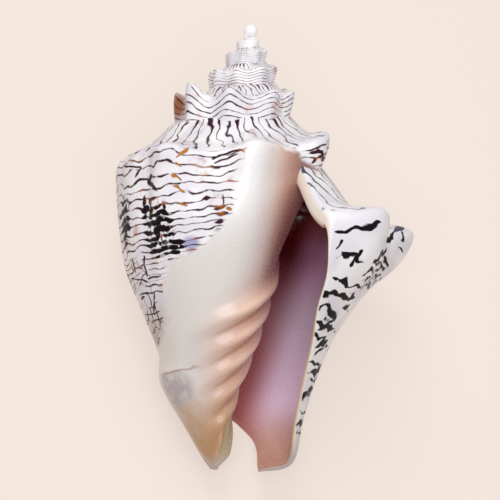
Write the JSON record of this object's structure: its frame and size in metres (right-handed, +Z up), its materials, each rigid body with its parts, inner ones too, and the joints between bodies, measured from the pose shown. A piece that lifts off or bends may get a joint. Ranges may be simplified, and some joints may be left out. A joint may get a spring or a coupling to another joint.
{
  "type": "volute sea shell",
  "caption": "Heavy spiral sea shell with a knobbed shoulder, a pointed spire, a long narrow aperture with a flared lip, a folded pillar and a notch at its lower end, lying on its back.",
  "frame": {"origin": "middle of the bounding box's bottom, on the surface that the shell lies on", "axes": "+Z up, out of the aperture; +Y along the shell's length, towards the apex; +X to the lip's side"},
  "size_m": [0.1014, 0.143, 0.0838],
  "materials": {
    "shell": "glossy, white with dark lines"
  },
  "bodies": {
    "root": {"shell": "shell"}
  },
  "joints": []
}
